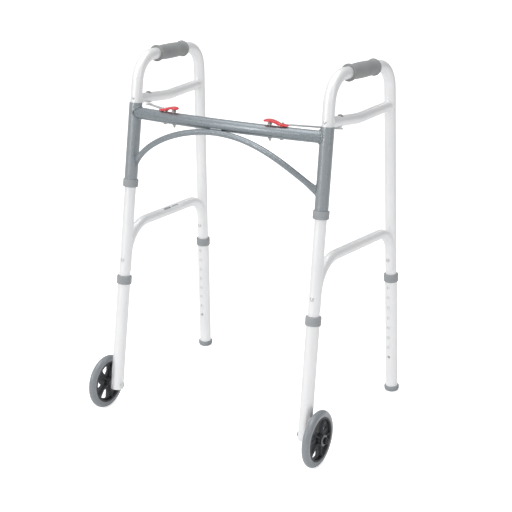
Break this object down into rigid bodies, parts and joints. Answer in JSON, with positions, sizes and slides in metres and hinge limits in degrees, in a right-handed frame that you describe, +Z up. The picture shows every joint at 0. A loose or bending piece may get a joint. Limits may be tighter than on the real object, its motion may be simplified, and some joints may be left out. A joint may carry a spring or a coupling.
{
  "type": "walking frame",
  "caption": "Folding height-adjustable walking frame with wheeled front legs, rubber-tipped rear legs, moulded handgrips and thumb-lever fold latches.",
  "frame": {"origin": "on the floor, on the middle plane between the two side frames, halfway between the front of the wheels and the back of the rear tips", "axes": "+X to the user's right, +Y backward towards the standing user, +Z up"},
  "size_m": [0.601, 0.4836, 0.812],
  "materials": {
    "anodised_tube": "clear satin anodised",
    "hammertone": "grey hammertone paint over aluminium tube",
    "grip_vinyl": "soft moulded grey vinyl",
    "grey_plastic": "moulded light grey",
    "tip_rubber": "moulded light grey, matt",
    "wheel_tyre": "smooth non-marking grey, slightly glossy",
    "hub_plastic": "moulded black",
    "paddle_plastic": "glossy red",
    "zinc_steel": "bright zinc plated",
    "black_steel": "black oxide",
    "rivet_aluminium": "plain mill finish"
  },
  "bodies": {
    "front_frame": {"front_crossbar": "hammertone", "arch_brace": "hammertone", "lever_pivot_bolts": "zinc_steel", "lever_guide_bolts": "zinc_steel", "right_front_sleeve": "hammertone", "right_sleeve_bushing": "grey_plastic", "right_lever_spring": "zinc_steel", "left_front_sleeve": "hammertone", "left_sleeve_bushing": "grey_plastic", "left_lever_spring": "zinc_steel"},
    "right_side_frame": {"right_handle_tube": "anodised_tube", "right_handgrip": "grip_vinyl", "right_upper_brace": "anodised_tube", "right_lower_brace": "anodised_tube", "right_latch_stud": "zinc_steel", "right_latch_stud_nut": "zinc_steel", "right_brace_rivets": "rivet_aluminium", "right_stop_rivet": "rivet_aluminium"},
    "right_latch_lever": {"right_release_paddle": "paddle_plastic", "right_latch_strip": "zinc_steel"},
    "right_front_leg": {"right_front_extension": "anodised_tube", "right_front_collar": "grey_plastic", "right_wheel_axle": "zinc_steel", "right_axle_washers": "zinc_steel", "right_axle_nut": "black_steel"},
    "right_wheel": {"right_tyre": "wheel_tyre", "right_wheel_hub": "hub_plastic"},
    "right_rear_leg": {"right_rear_extension": "anodised_tube", "right_rear_collar": "grey_plastic", "right_rear_tip": "tip_rubber"},
    "right_front_button_body": {"right_front_button": "zinc_steel"},
    "right_rear_button_body": {"right_rear_button": "zinc_steel"},
    "left_side_frame": {"left_handle_tube": "anodised_tube", "left_handgrip": "grip_vinyl", "left_upper_brace": "anodised_tube", "left_lower_brace": "anodised_tube", "left_latch_stud": "zinc_steel", "left_latch_stud_nut": "zinc_steel", "left_brace_rivets": "rivet_aluminium", "left_stop_rivet": "rivet_aluminium"},
    "left_latch_lever": {"left_release_paddle": "paddle_plastic", "left_latch_strip": "zinc_steel"},
    "left_front_leg": {"left_front_extension": "anodised_tube", "left_front_collar": "grey_plastic", "left_wheel_axle": "zinc_steel", "left_axle_washers": "zinc_steel", "left_axle_nut": "black_steel"},
    "left_wheel": {"left_tyre": "wheel_tyre", "left_wheel_hub": "hub_plastic"},
    "left_rear_leg": {"left_rear_extension": "anodised_tube", "left_rear_collar": "grey_plastic", "left_rear_tip": "tip_rubber"},
    "left_front_button_body": {"left_front_button": "zinc_steel"},
    "left_rear_button_body": {"left_rear_button": "zinc_steel"}
  },
  "joints": [
    {"name": "right_fold", "type": "hinge", "parent": "front_frame", "child": "right_side_frame", "pos_m": [0.23522, -0.09117, 0.61], "axis": [-0.0165, 0.1597, 0.987], "range_deg": [0, 84]},
    {"name": "right_lever_rock", "type": "hinge", "parent": "front_frame", "child": "right_latch_lever", "pos_m": [0.1419, -0.09865, 0.6973], "axis": [-0.1908, 0.9816, 0], "range_deg": [-0.8, 3.5], "stiffness_Nm_per_rad": 1.5, "deforming": ["right_lever_spring"]},
    {"name": "right_front_height", "type": "slide", "parent": "right_side_frame", "child": "right_front_leg", "axis": [0.0165, -0.1597, -0.987], "range_m": [0, 0.1778]},
    {"name": "right_wheel_spin", "type": "hinge", "parent": "right_front_leg", "child": "right_wheel", "pos_m": [0.27456, -0.17981, 0.062], "axis": [1, 0, 0], "continuous": true},
    {"name": "right_rear_height", "type": "slide", "parent": "right_side_frame", "child": "right_rear_leg", "axis": [0.0261, 0.0408, -0.9988], "range_m": [0, 0.1778]},
    {"name": "right_front_button_press", "type": "slide", "parent": "right_side_frame", "child": "right_front_button_body", "axis": [-0.0499, -0.9861, 0.1587], "range_m": [0, 0.004], "stiffness_N_per_m": 900},
    {"name": "right_rear_button_press", "type": "slide", "parent": "right_side_frame", "child": "right_rear_button_body", "axis": [0.0456, 0.9981, 0.042], "range_m": [0, 0.004], "stiffness_N_per_m": 900},
    {"name": "left_fold", "type": "hinge", "parent": "front_frame", "child": "left_side_frame", "pos_m": [-0.23522, -0.09117, 0.61], "axis": [-0.0165, -0.1597, -0.987], "range_deg": [0, 62]},
    {"name": "left_lever_rock", "type": "hinge", "parent": "front_frame", "child": "left_latch_lever", "pos_m": [-0.1419, -0.09865, 0.6973], "axis": [-0.1908, -0.9816, 0], "range_deg": [-0.8, 3.5], "stiffness_Nm_per_rad": 1.5, "deforming": ["left_lever_spring"]},
    {"name": "left_front_height", "type": "slide", "parent": "left_side_frame", "child": "left_front_leg", "axis": [-0.0165, -0.1597, -0.987], "range_m": [0, 0.1778]},
    {"name": "left_wheel_spin", "type": "hinge", "parent": "left_front_leg", "child": "left_wheel", "pos_m": [-0.27456, -0.17981, 0.062], "axis": [1, 0, 0], "continuous": true},
    {"name": "left_rear_height", "type": "slide", "parent": "left_side_frame", "child": "left_rear_leg", "axis": [-0.0261, 0.0408, -0.9988], "range_m": [0, 0.1778]},
    {"name": "left_front_button_press", "type": "slide", "parent": "left_side_frame", "child": "left_front_button_body", "axis": [0.0499, -0.9861, 0.1587], "range_m": [0, 0.004], "stiffness_N_per_m": 900},
    {"name": "left_rear_button_press", "type": "slide", "parent": "left_side_frame", "child": "left_rear_button_body", "axis": [-0.0456, 0.9981, 0.042], "range_m": [0, 0.004], "stiffness_N_per_m": 900}
  ]
}
